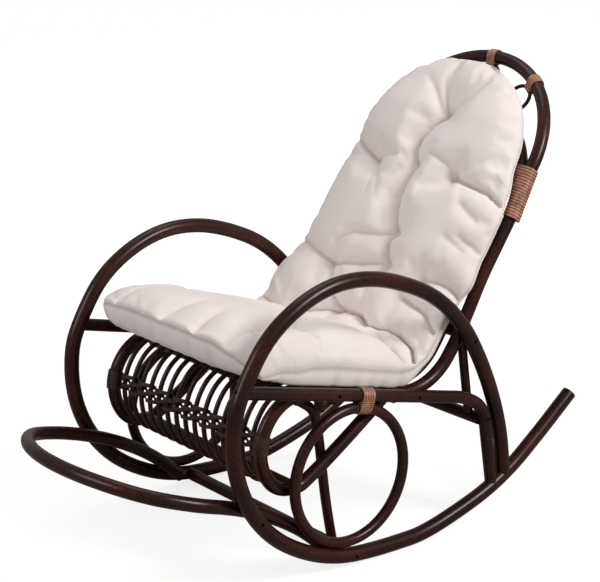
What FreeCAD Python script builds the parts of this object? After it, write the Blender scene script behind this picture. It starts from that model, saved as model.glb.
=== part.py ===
import FreeCAD, Part
import math
import os
from FreeCAD import Vector

# A rattan rocking chair.  Every pole is a round cane bent in tangent arcs, so each is drawn as a
# list of stations (u, v, heading) in one plane: u and v in millimetres, the heading in degrees
# anticlockwise from u.  Two tangent arcs join each station to the next.  The runners have a short
# straight stretch where the chair's own weight, with its cushion, stands on the floor.
# +X is the sitter's left, -Y the front, +Z up.

# ---- driving dimensions, in millimetres and degrees
OVERALL_WIDTH = 600.0          # outside of one arm loop to the outside of the other
OVERALL_HEIGHT = 936.0         # floor to the top of the headrest
DRAWN_HEIGHT = 936.0           # the height at which the station lists below are written

LOOP_R = 15.5                  # arm and runner loops
RAIL_R = 13.0                  # seat rails and their rear legs
POST_R = 13.5                  # poles of the seat and the back, and the arch between them
HOOP_R = 13.8                  # headrest hoop and footrest hoop
BAR_R = 13.0                   # cross bars
PROP_R = 9.5                   # short props under the back
STRUT_R = 10.0                 # strut under the front of the seat
RING_R = 11.0                  # cane of the side rings
SMALL_RING_R = 4.0             # cane of the headrest rings
CANE_R = 5.0                   # canes of the seat and the back
CANE_COUNT = 15
WRAP_WALL = 2.5                # thickness of a cane wrapping
FIT_GAP = 0.3                  # room left where one round cane meets another
SMALLEST_TURN = 0.05           # degrees; a gentler bend than this is drawn straight

CANE_PITCH = 31.75             # from one seat cane to the next
BACK_TILT = 34.3               # headrest plane, from the vertical
ARCH_START = 80.0              # where the back poles start to bend into the arch
SPLICE_ANGLE = 15.7            # how far round that bend the posts end and the arch piece starts
NECK_LOW = 95.0                # lower end of the neck wrapping, up the headrest plane
NECK_HIGH = 208.0              # its upper end
NECK_SECTIONS = 4              # outlines that the neck wrapping is lofted through
HOOP_CENTRE = 212.0            # centre of the headrest hoop's oval, up the headrest plane
HOOP_HALF_WIDTH = 248.0
HOOP_RISE = 230.0              # from that centre to the top of the hoop
HOOP_FOOT = (262.0, NECK_LOW, 97.0)

SIDE_RING_Y = -87.0            # centre of the side rings, from the lowest point of the runners
STRETCHER_Y = -80.0
BINDING_LENGTH = 30.0          # rail binding, along the rail
HOOP_BINDING_LENGTH = 22.0     # headrest bindings, along the hoop
OUTER_RING_ANGLE = 53.0        # outer headrest rings, up from the hoop's widest point

RIBBON_ROWS = 4                # woven band across the front canes
RIBBON_WIDTH = 8.0
RIBBON_THICKNESS = 1.6
RIBBON_STEP = 9.2
BAND_START = 4.0               # from the foremost point of the canes to the lowest ribbon's edge

NAIL_R = 1.5
NAIL_HEAD_R = 4.0
NAIL_HEAD_HEIGHT = 1.8
NAIL_BITE = 18.0               # how deep a nail's point goes into the second pole
NAIL_HOLE_GAP = 0.2
ARM_NAIL = (229, 406)          # places in the side view, as in the station lists below
FRONT_RAIL_NAIL = (-126, 357)
REAR_RAIL_NAIL = (80, 312)
STRUT_NAIL = (-121, 222)

PAD_HALF_WIDTH = 255.0
PAD_LIFT = 0.6                 # the cushion's underside above what it lies on
SEAT_PAD_THICKNESS = 80.0
BACK_PAD_THICKNESS = 72.0
PAD_NOSE = -290.0              # where the cushion's front starts to round off
PAD_TOP = 422.0                # top of the cushion, up the headrest plane
PAD_TAPER_START = 30.0         # where its sides start to draw in, up the headrest plane
PAD_WALL = 5.0                 # the closed cover that stands for the cotton and its light filling
FOLD_HEADING = 22.0            # lean of the cushion's fold between seat and back
FOLD_FULLNESS = 12.0           # how far its upper side stands proud in the fold

# ---- station lists of the side view: (y, z, heading), from the lowest point of the runners
ARM = [(332, 92, 96.2), (312, 216, 105.3), (229, 406, 121.5), (85, 537, 154.6), (-91, 582.5, 179.6),
       (-259, 526, 216), (-352, 401, 244.8), (-368, 306, 271.8)]
RUNNER = [(-368, 306, 271.8), (-319, 158, 304.7), (-161, 41, 339.2), (26, 15.5, 360), (66, 15.5, 360),
          (172, 32.5, 375.2), (302, 76.5, 384.4), (396, 132.5, 397), (454, 176, 398.1), (525, 232, 398.1)]
SEAT_RAIL = [(-350, 413, -12.6), (190, 292.6, -12.6), (274, 225, -80.5), (299, 74, -81)]
BRACE = [(17, 318, 215), (-116, 227, 213), (-183, 187, 208), (-213, 184, 180), (-284, 266, 92)]
SEAT_POLE = [(-284, 266, 92), (-187, 369.5, -1), (-130, 363.8, -12.6), (60, 321.5, -12.6),
             (150, 334, 28), (225, 418, 60), (305, 556, 90 - BACK_TILT)]
CANE_START = (-222, 186, 180)
CANE_LIFTS = [-5.0, 5.5, 6.8, 6.8, 6.8, 6.8, 6.8]
LOWER_BAR = (-215, 190)
REAR_BAR = (265, 228)
PROP = [(229, 424, -84), (255, 240, -81)]
STRUT = [(-86, 25, 102.5), (-112, 171, 97.5), (-131, 300, 102)]
STRUT_TOP_HEADING = 145.0
FOOTREST_SIDE = [(-119, 32, 138), (-204, 103, 146), (-301, 157, 156), (-390, 190, 163.3)]
# front of the footrest: (x, distance up its plane from the last side station, heading)
FOOTREST_FRONT = [(232, 95, 115), (165, 162, 150), (0, 207, 180)]

# ---- places that follow from the sizes above
SCALE = OVERALL_HEIGHT / DRAWN_HEIGHT
LOOP_X = OVERALL_WIDTH / 2 - LOOP_R
RAIL_X = LOOP_X
POST_X = LOOP_X - LOOP_R - POST_R - FIT_GAP
FOOTREST_X = LOOP_X - LOOP_R - HOOP_R - FIT_GAP
STRUT_X = POST_X - POST_R - STRUT_R - FIT_GAP
BAR_END_X = POST_X - POST_R / 2
ARCH_SIZE = POST_X

parts = {}


# ---- drawing in planes
def side_plane(x):
    """Lays (y, z) of the side view out at a given x."""
    return lambda y, z: Vector(x, y * SCALE, z * SCALE)


def headrest_plane(x, s, n=0.0):
    """A point x across, s up the headrest plane and n in front of it."""
    top = SEAT_POLE[-1]
    tilt = math.radians(BACK_TILT)
    y = top[0] * SCALE + s * math.sin(tilt) - n * math.cos(tilt)
    z = top[1] * SCALE + s * math.cos(tilt) + n * math.sin(tilt)
    return Vector(x, y, z)


def footrest_plane(x, w):
    """A point x across and w up the sloping front of the footrest hoop."""
    y, z, heading = FOOTREST_SIDE[-1]
    slope = math.radians(heading)
    return Vector(x, y * SCALE + w * math.cos(slope), z * SCALE + w * math.sin(slope))


def biarc_joint(start, end):
    """Where the two tangent arcs from one station to the next meet, and their heading there."""
    t0 = Vector(math.cos(math.radians(start[2])), math.sin(math.radians(start[2])), 0)
    t1 = Vector(math.cos(math.radians(end[2])), math.sin(math.radians(end[2])), 0)
    chord = Vector(end[0] - start[0], end[1] - start[1], 0)
    spread = 2 * (1 - t0.dot(t1))
    along = chord.dot(t0 + t1)
    if spread < 1e-9:
        reach = chord.dot(chord) / (2 * along)
    else:
        reach = (math.sqrt(along * along + spread * chord.dot(chord)) - along) / spread
    joint = (Vector(start[0] + end[0], start[1] + end[1], 0) + (t0 - t1) * reach) / 2
    turn = math.degrees(math.atan2(joint.y - start[1], joint.x - start[0]))
    return joint.x, joint.y, 2 * turn - start[2]


def arc(start, end, place):
    """One arc, or a straight run, that leaves start along its heading and ends at end."""
    du = end[0] - start[0]
    dv = end[1] - start[1]
    half_turn = math.degrees(math.atan2(dv, du)) - start[2]
    half_turn = (half_turn + 180) % 360 - 180
    if abs(half_turn) < SMALLEST_TURN:
        return Part.makeLine(place(start[0], start[1]), place(end[0], end[1]))
    bulge = math.tan(math.radians(half_turn) / 2) / 2
    middle = place((start[0] + end[0]) / 2 + dv * bulge, (start[1] + end[1]) / 2 - du * bulge)
    return Part.Arc(place(start[0], start[1]), middle, place(end[0], end[1])).toShape()


def bend(stations, place):
    """The edges of a bent pole's centre line through its stations."""
    edges = []
    for start, end in zip(stations, stations[1:]):
        joint = biarc_joint(start, end)
        edges.append(arc(start, joint, place))
        edges.append(arc(joint, end, place))
    return edges


def pole(edges, radius):
    """A round pole along a centre line."""
    start = edges[0].FirstParameter
    section = Part.Wire(Part.makeCircle(radius, edges[0].valueAt(start), edges[0].tangentAt(start)))
    return Part.Wire(edges).makePipeShell([section], True, False)


def fitted(shape, *neighbours):
    """A piece coped to the poles that it meets, given as their fattened solids."""
    for neighbour in neighbours:
        shape = shape.cut(neighbour)
    return max(shape.Solids, key=lambda solid: solid.Volume)


def mirrored(shape):
    return shape.mirror(Vector(0, 0, 0), Vector(1, 0, 0))


def both_sides(name, shape):
    parts[name + "_left"] = shape
    parts[name + "_right"] = mirrored(shape)


def cross_bar(y, z, half_length):
    """A straight bar across the chair."""
    start = Vector(-half_length, y, z)
    return Part.makeCylinder(BAR_R, 2 * half_length, start, Vector(1, 0, 0))


def normal_offset(station, lift):
    """A station moved square to its heading, to its left."""
    y, z, heading = station
    turn = math.radians(heading)
    return y - lift / SCALE * math.sin(turn), z + lift / SCALE * math.cos(turn), heading


# ---- the centre lines that several pieces share
arm_line = bend(ARM, side_plane(LOOP_X))
runner_line = bend(RUNNER, side_plane(LOOP_X))
rail_line = bend(SEAT_RAIL, side_plane(RAIL_X))
brace_line = bend(BRACE, side_plane(POST_X))
seat_pole_line = bend(SEAT_POLE, side_plane(POST_X))
cane_stations = [normal_offset(station, lift) for station, lift in zip(SEAT_POLE, CANE_LIFTS)]


def arch_point(angle, size=ARCH_SIZE):
    turn = math.radians(angle)
    return headrest_plane(size * math.cos(turn), ARCH_START + size * math.sin(turn))


def post_line():
    """The back pole from the seat to its splice with the arch."""
    straight = Part.makeLine(headrest_plane(POST_X, 0), headrest_plane(POST_X, ARCH_START))
    shoulder = Part.Arc(arch_point(0), arch_point(SPLICE_ANGLE / 2), arch_point(SPLICE_ANGLE))
    return seat_pole_line + [straight, shoulder.toShape()]


def hoop_stations():
    """The right half of the headrest hoop, from its foot to the middle of its top."""
    stations = [HOOP_FOOT]
    for angle in (0, 25, 50, 70, 90):
        t = math.radians(angle)
        x = HOOP_HALF_WIDTH * math.cos(t)
        s = HOOP_CENTRE + HOOP_RISE * math.sin(t)
        heading = math.degrees(math.atan2(HOOP_RISE * math.cos(t), -HOOP_HALF_WIDTH * math.sin(t)))
        stations.append((x, s, heading))
    return stations


def mirror_stations(stations):
    """The other half of a symmetrical bend, in running order."""
    return [(-u, v, 360 - heading) for u, v, heading in reversed(stations[:-1])]


# ---- arm and runner loops
def side_loop():
    arm = fitted(pole(arm_line, LOOP_R), pole(runner_line, LOOP_R + FIT_GAP))
    return arm.fuse(pole(runner_line, LOOP_R)).removeSplitter()


loop_room = pole(arm_line, LOOP_R + FIT_GAP).fuse(pole(runner_line, LOOP_R + FIT_GAP))
both_sides("side_loop", side_loop())

# ---- seat rails with their rear legs
rail_room = pole(rail_line, RAIL_R + FIT_GAP)
both_sides("seat_rail", fitted(pole(rail_line, RAIL_R), loop_room))


# ---- side rings, touching the rail above and the runner below
def ring_place():
    """Height and centre line radius of a ring that fills the space between rail and runner."""
    rail = Part.Wire(rail_line)
    runner = Part.Wire(runner_line)
    low = 0.0
    high = SEAT_RAIL[0][1] * SCALE
    while high - low > FIT_GAP / 1000:
        z = (low + high) / 2
        centre = Part.Vertex(Vector(RAIL_X, SIDE_RING_Y * SCALE, z))
        to_rail = centre.distToShape(rail)[0] - RAIL_R
        to_runner = centre.distToShape(runner)[0] - LOOP_R
        if to_rail > to_runner:
            low = z
        else:
            high = z
    return z, to_rail - FIT_GAP - RING_R


RING_Z, RING_SIZE = ring_place()
ring_centre = Vector(RAIL_X, SIDE_RING_Y * SCALE, RING_Z)
both_sides("side_ring", Part.makeTorus(RING_SIZE, RING_R, ring_centre, Vector(1, 0, 0)))

# ---- poles of the seat and the back
hoop_line = bend(hoop_stations() + mirror_stations(hoop_stations()), headrest_plane)


def scarf_side(outer):
    """The space on one side of the flat where hoop and back pole lie together (left side)."""
    outside = ARCH_SIZE + POST_R
    low = math.degrees(math.asin((NECK_LOW - ARCH_START) / outside))
    high = math.degrees(math.asin((HOOP_CENTRE - ARCH_START) / outside))
    a = arch_point(low, outside)
    b = arch_point(high, outside)
    along = (b - a).normalize()
    across = (headrest_plane(1, 0, 0) - headrest_plane(0, 0, 0)).normalize()
    across = (across - along * across.dot(along)).normalize()
    front = (headrest_plane(0, 0, 1) - headrest_plane(0, 0, 0)).normalize()
    if not outer:
        across = across * -1
    deep = 3 * HOOP_R
    start = a - along * deep - front * deep
    end = b - front * deep
    corners = [start, end, end + across * deep, start + across * deep, start]
    return Part.Face(Part.makePolygon(corners)).extrude(front * (2 * deep))


def seat_back_pole():
    brace = fitted(pole(brace_line, POST_R), pole(seat_pole_line, POST_R + FIT_GAP))
    post = pole(post_line(), POST_R)
    return brace.fuse(post).removeSplitter().cut(scarf_side(True)).Solids[0]


post_room = pole(brace_line, POST_R + FIT_GAP).fuse(pole(post_line(), POST_R + FIT_GAP))
both_sides("seat_back_pole", seat_back_pole())

arch_line = [Part.Arc(arch_point(SPLICE_ANGLE), arch_point(90), arch_point(180 - SPLICE_ANGLE)).toShape()]
arch_room = pole(arch_line, POST_R + FIT_GAP)
hoop_room = pole(hoop_line, HOOP_R + FIT_GAP)
flats = [scarf_side(True), mirrored(scarf_side(True))]
parts["inner_back_arch"] = fitted(pole(arch_line, POST_R), *flats)
hoop_flats = [scarf_side(False), mirrored(scarf_side(False))]
parts["headrest_hoop"] = fitted(pole(hoop_line, HOOP_R), *hoop_flats)


# ---- wrappings
def lens_outline(c1, r1, c2, r2, place):
    """Two circles in a plane and the tangents round both, as one closed outline."""
    gap = (c2 - c1).Length
    turn = math.atan2(c2.y - c1.y, c2.x - c1.x)
    lean = math.acos((r1 - r2) / gap)

    def at(centre, radius, angle):
        return place(centre.x + radius * math.cos(angle), centre.y + radius * math.sin(angle))

    left = turn + lean
    right = turn - lean
    back = turn + math.pi
    edges = [Part.Arc(at(c1, r1, left), at(c1, r1, back), at(c1, r1, right)).toShape(),
             Part.makeLine(at(c1, r1, right), at(c2, r2, right)),
             Part.Arc(at(c2, r2, right), at(c2, r2, turn), at(c2, r2, left)).toShape(),
             Part.makeLine(at(c2, r2, left), at(c1, r1, left))]
    return Part.Wire(edges)


def neck_wrap(wall):
    """Cane wound round the back pole and the hoop's foot together."""
    sections = []
    for step in range(NECK_SECTIONS):
        s = NECK_LOW + (NECK_HIGH - NECK_LOW) * step / (NECK_SECTIONS - 1)
        inner = math.sqrt(ARCH_SIZE ** 2 - (s - ARCH_START) ** 2)
        share = (s - NECK_LOW) / (HOOP_CENTRE - NECK_LOW)
        outer = HOOP_FOOT[0] + (HOOP_HALF_WIDTH - HOOP_FOOT[0]) * share
        c1 = Vector(inner, 0, 0)
        c2 = Vector(outer, 0, 0)
        place = lambda x, n, s=s: headrest_plane(x, s, n)
        sections.append(lens_outline(c1, POST_R + wall, c2, HOOP_R + wall, place))
    return Part.makeLoft(sections, True, False)


neck_room = neck_wrap(WRAP_WALL + FIT_GAP)
both_sides("neck_wrap", fitted(neck_wrap(WRAP_WALL), post_room, arch_room, hoop_room))


def rail_binding():
    """Cane wound round the rail and the top of the side ring."""
    heading = math.radians(SEAT_RAIL[0][2])
    along = Vector(0, math.cos(heading), math.sin(heading))
    up = Vector(0, -math.sin(heading), math.cos(heading))
    ring_top = ring_centre + up * RING_SIZE
    start = ring_top - along * (BINDING_LENGTH / 2)
    place = lambda x, v: start + Vector(x, 0, 0) + up * v
    outline = lens_outline(Vector(0, 0, 0), RING_R + WRAP_WALL,
                           Vector(0, RING_R + RAIL_R + FIT_GAP, 0), RAIL_R + WRAP_WALL, place)
    return Part.Face(outline).extrude(along * BINDING_LENGTH)


ring_room = Part.makeTorus(RING_SIZE, RING_R + FIT_GAP, ring_centre, Vector(1, 0, 0))
both_sides("rail_binding", fitted(rail_binding(), rail_room, ring_room))


# ---- headrest rings and their bindings
def hoop_frame(angle):
    """A point of the hoop's oval, its direction there and the way to its inside."""
    t = math.radians(angle)
    point = Vector(HOOP_HALF_WIDTH * math.cos(t), HOOP_CENTRE + HOOP_RISE * math.sin(t), 0)
    tangent = Vector(-HOOP_HALF_WIDTH * math.sin(t), HOOP_RISE * math.cos(t), 0).normalize()
    inward = Vector(-tangent.y, tangent.x, 0)
    return point, tangent, inward


def headrest_ring(angle):
    """A ring that fills the space between hoop and arch, and the cane that ties it to the hoop."""
    point, tangent, inward = hoop_frame(angle)
    top = point + inward * (HOOP_R + FIT_GAP + SMALL_RING_R)
    reach = top - Vector(0, ARCH_START, 0)
    inner = ARCH_SIZE + POST_R + FIT_GAP + SMALL_RING_R
    size = (reach.dot(reach) - inner * inner) / (2 * (inner - reach.dot(inward)))
    centre = top + inward * size
    facing = headrest_plane(0, 0, 1) - headrest_plane(0, 0, 0)
    place = headrest_plane(centre.x, centre.y)
    ring = Part.makeTorus(size, SMALL_RING_R, place, facing)
    room = Part.makeTorus(size, SMALL_RING_R + FIT_GAP, place, facing)
    start = point - tangent * (HOOP_BINDING_LENGTH / 2)
    span = headrest_plane(tangent.x, tangent.y) - headrest_plane(0, 0)

    def lay(v, n):
        spot = start + inward * v
        return headrest_plane(spot.x, spot.y, n)

    outline = lens_outline(Vector(0, 0, 0), HOOP_R + WRAP_WALL,
                           Vector(HOOP_R + FIT_GAP + SMALL_RING_R, 0, 0), SMALL_RING_R + WRAP_WALL, lay)
    binding = Part.Face(outline).extrude(span * HOOP_BINDING_LENGTH)
    return ring, fitted(binding, hoop_room, room)


for place_name, angle in (("middle", 90), ("left", OUTER_RING_ANGLE), ("right", 180 - OUTER_RING_ANGLE)):
    ring, binding = headrest_ring(angle)
    parts["headrest_ring_" + place_name] = ring
    parts["headrest_binding_" + place_name] = binding


# ---- footrest hoop
def footrest_line():
    left_side = bend(FOOTREST_SIDE, side_plane(FOOTREST_X))
    front = [(FOOTREST_X, 0, 90)] + FOOTREST_FRONT
    front = bend(front + mirror_stations(front), footrest_plane)
    back_again = [(y, z, heading + 180) for y, z, heading in reversed(FOOTREST_SIDE)]
    return left_side + front + bend(back_again, side_plane(-FOOTREST_X))


footrest = footrest_line()
parts["footrest_hoop"] = pole(footrest, HOOP_R)


# ---- cross bars
def height_on(line, y):
    """Height of a side-view centre line at y."""
    upright = Part.makeLine(Vector(LOOP_X, y, 0), Vector(LOOP_X, y, OVERALL_HEIGHT))
    return Part.Wire(line).distToShape(upright)[1][0][0].z


def bar_under_canes(station):
    """Centre of a bar that the canes lie on."""
    y, z, heading = normal_offset(station, -(CANE_R + FIT_GAP + BAR_R))
    return y * SCALE, z * SCALE


both_posts = [post_room, mirrored(post_room)]
stretcher_z = height_on(runner_line, STRETCHER_Y * SCALE)
parts["bottom_stretcher"] = fitted(cross_bar(STRETCHER_Y * SCALE, stretcher_z, LOOP_X),
                                   loop_room, mirrored(loop_room))
bar_places = {"front_lower_bar": (LOWER_BAR[0] * SCALE, LOWER_BAR[1] * SCALE),
              "front_upper_bar": bar_under_canes(cane_stations[1]),
              "seat_rear_bar": bar_under_canes(cane_stations[3]),
              "back_lower_bar": bar_under_canes(cane_stations[5]),
              "back_upper_bar": bar_under_canes(cane_stations[6])}
for name, (y, z) in bar_places.items():
    parts[name] = fitted(cross_bar(y, z, BAR_END_X), *both_posts)

rear_y, rear_z = REAR_BAR[0] * SCALE, REAR_BAR[1] * SCALE
parts["rear_cross_bar"] = fitted(cross_bar(rear_y, rear_z, RAIL_X - RAIL_R / 2),
                                 rail_room, mirrored(rail_room))


def bar_room(y, z):
    return Part.makeCylinder(BAR_R + FIT_GAP, 2 * LOOP_X, Vector(-LOOP_X, y, z), Vector(1, 0, 0))


# ---- props under the back, and the strut under the front of the seat
prop = pole(bend(PROP, side_plane(POST_X)), PROP_R)
both_sides("rear_prop", fitted(prop, post_room, bar_room(rear_y, rear_z),
                               bar_room(*bar_places["back_lower_bar"])))

upper_y, upper_z = bar_places["front_upper_bar"]
strut_stations = STRUT + [(upper_y / SCALE, upper_z / SCALE, STRUT_TOP_HEADING)]
strut = pole(bend(strut_stations, side_plane(STRUT_X)), STRUT_R)
parts["front_strut_left"] = fitted(strut, bar_room(STRETCHER_Y * SCALE, stretcher_z),
                                   bar_room(upper_y, upper_z))


# ---- canes of the seat and the back
def cane(x):
    line = bend([CANE_START] + cane_stations, side_plane(x))
    lift = CANE_LIFTS[-1]
    top = ARCH_START + math.sqrt(ARCH_SIZE ** 2 - x * x)
    line.append(Part.makeLine(headrest_plane(x, 0, lift), headrest_plane(x, top, lift)))
    return pole(line, CANE_R)


lower_room = bar_room(*bar_places["front_lower_bar"])
cane_stops = [lower_room, arch_room, neck_room, mirrored(neck_room)]
cane_places = [(index - (CANE_COUNT - 1) / 2) * CANE_PITCH for index in range(CANE_COUNT)]
for index, x in enumerate(cane_places):
    parts["cane_%02d" % (index + 1)] = fitted(cane(x), *cane_stops)


# ---- woven band across the front canes
def point_along(edge, distance):
    parameter = edge.getParameterByLength(distance)
    return edge.valueAt(parameter), edge.tangentAt(parameter)


def ribbon(row):
    """One flat strand that passes in front of one cane and behind the next."""
    front_arc = bend(cane_stations[:2], side_plane(0))[0]
    spot, up = point_along(front_arc, BAND_START + RIBBON_WIDTH / 2 + row * RIBBON_STEP)
    ahead = Vector(0, -up.z, up.y)
    swing = CANE_R + FIT_GAP + RIBBON_THICKNESS / 2
    place = lambda x, n: spot + Vector(x, 0, 0) + ahead * n
    side = 1 if row % 2 else -1
    end = POST_X - POST_R - FIT_GAP - WRAP_WALL
    stations = [(-end, 0, 0)]
    for index, x in enumerate(cane_places):
        stations.append((x, swing * side * (-1) ** index, 0))
    stations.append((end, 0, 0))
    line = bend(stations, place)
    start = line[0].valueAt(line[0].FirstParameter)
    along = line[0].tangentAt(line[0].FirstParameter)
    flat = along.cross(up).normalize() * (RIBBON_THICKNESS / 2)
    tall = up * (RIBBON_WIDTH / 2)
    section = Part.makePolygon([start + flat + tall, start + flat - tall, start - flat - tall,
                                start - flat + tall, start + flat + tall])
    return Part.Wire(line).makePipeShell([section], True, False)


def band_cuff():
    """The band's end, wound round the front pole."""
    front_arc = seat_pole_line[0]
    low = point_along(front_arc, BAND_START)[0]
    high_at = BAND_START + RIBBON_STEP * (RIBBON_ROWS - 1) + RIBBON_WIDTH
    middle = point_along(front_arc, (BAND_START + high_at) / 2)[0]
    high = point_along(front_arc, high_at)[0]
    line = [Part.Arc(low, middle, high).toShape()]
    return pole(line, POST_R + WRAP_WALL).cut(post_room).Solids[0]


parts["braid_band"] = Part.makeCompound([ribbon(row) for row in range(RIBBON_ROWS)]
                                        + [band_cuff(), mirrored(band_cuff())])


# ---- cushion
def pad_profile(inset):
    """Side outline of the cushion: it lies on the seat, bends at the fold and leans on the back."""
    under = POST_R + PAD_LIFT + inset
    seat_thickness = SEAT_PAD_THICKNESS - 2 * inset
    back_thickness = BACK_PAD_THICKNESS - 2 * inset
    over = under + seat_thickness
    nose_z = SEAT_POLE[3][1] - (PAD_NOSE - SEAT_POLE[3][0]) * math.tan(math.radians(-SEAT_POLE[3][2]))
    nose = (PAD_NOSE, nose_z, SEAT_POLE[3][2])
    seat = [nose] + SEAT_POLE[3:7]
    lower = [normal_offset(station, under) for station in seat[:4]]
    under += WRAP_WALL + HOOP_R - POST_R
    lower += [normal_offset(station, under) for station in seat[4:]]
    place = side_plane(-PAD_HALF_WIDTH)
    edges = bend(lower, place)
    half = back_thickness / 2
    top_at = PAD_TOP - inset
    top_back = headrest_plane(-PAD_HALF_WIDTH, top_at - half, under)
    top = headrest_plane(-PAD_HALF_WIDTH, top_at, under + half)
    top_front = headrest_plane(-PAD_HALF_WIDTH, top_at - half, under + back_thickness)
    fold_station = (SEAT_POLE[4][0], SEAT_POLE[4][1], FOLD_HEADING)
    fold = place(*normal_offset(fold_station, over + FOLD_FULLNESS)[:2])
    nose_top = place(*normal_offset(nose, over)[:2])
    half = seat_thickness / 2
    nose_front = place(nose[0] - half, normal_offset(nose, over)[1] - half)
    edges.append(Part.makeLine(edges[-1].Vertexes[-1].Point, top_back))
    edges.append(Part.Arc(top_back, top, top_front).toShape())
    edges.append(Part.makeLine(top_front, fold))
    edges.append(Part.makeLine(fold, nose_top))
    edges.append(Part.Arc(nose_top, nose_front, place(*lower[0][:2])).toShape())
    return Part.Face(Part.Wire(edges))


def pad_outline(inset):
    """Front outline of the cushion: straight sides, drawn in to a rounded top."""
    rise = PAD_TOP - PAD_TAPER_START - inset
    half_width = PAD_HALF_WIDTH - inset
    stations = []
    for angle in (0, 35, 65, 90):
        t = math.radians(angle)
        heading = math.degrees(math.atan2(rise * math.cos(t), -half_width * math.sin(t)))
        stations.append((half_width * math.cos(t), PAD_TAPER_START + rise * math.sin(t), heading))
    deep = -OVERALL_HEIGHT
    place = lambda x, s: headrest_plane(x, s, deep)
    edges = bend(stations + mirror_stations(stations), place)
    left_foot = place(half_width, deep)
    right_foot = place(-half_width, deep)
    edges.append(Part.makeLine(place(-half_width, PAD_TAPER_START), right_foot))
    edges.append(Part.makeLine(right_foot, left_foot))
    edges.append(Part.makeLine(left_foot, place(half_width, PAD_TAPER_START)))
    facing = headrest_plane(0, 0, 1) - headrest_plane(0, 0, 0)
    return Part.Face(Part.Wire(edges)).extrude(facing * (-3 * deep))


def pad(inset):
    """The cushion's form, or the form of its inside at a given depth under its cover."""
    slab = pad_profile(inset).extrude(Vector(2 * PAD_HALF_WIDTH, 0, 0))
    return slab.common(pad_outline(inset)).Solids[0]


parts["cushion"] = pad(0).cut(pad(PAD_WALL)).Solids[0]


# ---- nails
def on_pole(line, y, z):
    """The point of a pole's centre line nearest to a place in the side view, and its direction."""
    spot = Part.Vertex(side_plane(line[0].Vertexes[0].X)(y, z))
    edge = min(line, key=lambda candidate: candidate.distToShape(spot)[0])
    point = edge.distToShape(spot)[1][0][0]
    return point, edge.tangentAt(edge.Curve.parameter(point))


def nail(head, way, length):
    """A nail with a domed head that sits at head, driven along way."""
    ball = (NAIL_HEAD_R ** 2 + NAIL_HEAD_HEIGHT ** 2) / (2 * NAIL_HEAD_HEIGHT)
    rim = math.degrees(math.acos(NAIL_HEAD_R / ball))
    dome = Part.makeSphere(ball, head + way * (ball - NAIL_HEAD_HEIGHT), way * -1, rim, 90, 360)
    return dome.fuse(Part.makeCylinder(NAIL_R, length, head, way))


sides = ("_left", "_right")
sideways = Vector(-1, 0, 0)
stretcher_nail = (STRETCHER_Y, stretcher_z / SCALE)
# the pole that the head sits on, its radius, the place in the side view, the two pieces that it
# holds together, and the sides that have it
nailing = [(arm_line, LOOP_R, ARM_NAIL, ("side_loop", "seat_back_pole"), sides),
           (rail_line, RAIL_R, FRONT_RAIL_NAIL, ("seat_rail", "seat_back_pole"), sides),
           (rail_line, RAIL_R, REAR_RAIL_NAIL, ("seat_rail", "seat_back_pole"), sides),
           (rail_line, RAIL_R, REAR_BAR, ("seat_rail", "rear_cross_bar"), sides),
           (arm_line, LOOP_R, SEAT_RAIL[0][:2], ("side_loop", "seat_rail"), sides),
           (runner_line, LOOP_R, FOOTREST_SIDE[2][:2], ("side_loop", "footrest_hoop"), sides),
           (runner_line, LOOP_R, stretcher_nail, ("side_loop", "bottom_stretcher"), sides),
           (brace_line, POST_R, STRUT_NAIL, ("seat_back_pole", "front_strut"), sides[:1])]
nails = []
for line, radius, (y, z), pieces, which in nailing:
    point, along = on_pole(line, y, z)
    end_on = pieces == ("side_loop", "seat_rail")
    way = Vector(0, -along.z, along.y) if end_on else sideways
    length = 2 * radius + NAIL_BITE
    head = point - way * radius
    hole = Part.makeCylinder(NAIL_R + NAIL_HOLE_GAP, length + NAIL_HOLE_GAP, head, way)
    for side in which:
        turned = mirrored if side == "_right" else (lambda shape: shape)
        nails.append(turned(nail(head, way, length)))
        for piece in pieces:
            name = piece if piece in parts else piece + side
            parts[name] = fitted(parts[name], turned(hole))
parts["nails"] = Part.makeCompound(nails)

# ---- the frame: origin on the floor under the middle of the chair
back_end = headrest_plane(0, HOOP_CENTRE + HOOP_RISE).y + HOOP_R + WRAP_WALL
front_end = footrest_plane(0, FOOTREST_FRONT[-1][1]).y - HOOP_R
lowest = min(z for _, z, _ in RUNNER) * SCALE - LOOP_R
shift = Vector(0, -(back_end + front_end) / 2, -lowest)
os.makedirs("parts", exist_ok=True)
for name, shape in parts.items():
    shape.translate(shift)
    shape.exportStep("parts/" + name + ".step")
    print(name, len(shape.Solids), shape.isValid(), round(shape.Volume / 1000), "cm3")
print("origin moved by", shift)
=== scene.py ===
# %% [markdown]
# # A rattan rocking chair
# The chair is bent from round rattan poles, stained very dark and lacquered.  Two big loops make the
# arms and the runners, canes laid side by side make the seat and the back, and one long cotton
# cushion lies loose on them.  The frame below is the chair's construction, already packed as rigid
# pieces.  These cells give it its looks: lacquered cane, wound bindings, a tufted cotton cushion,
# and the studio that they are seen in.

# %% The frame
import bpy
import bmesh
import math
from mathutils import Matrix, Vector
from mathutils.geometry import intersect_point_line


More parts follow.
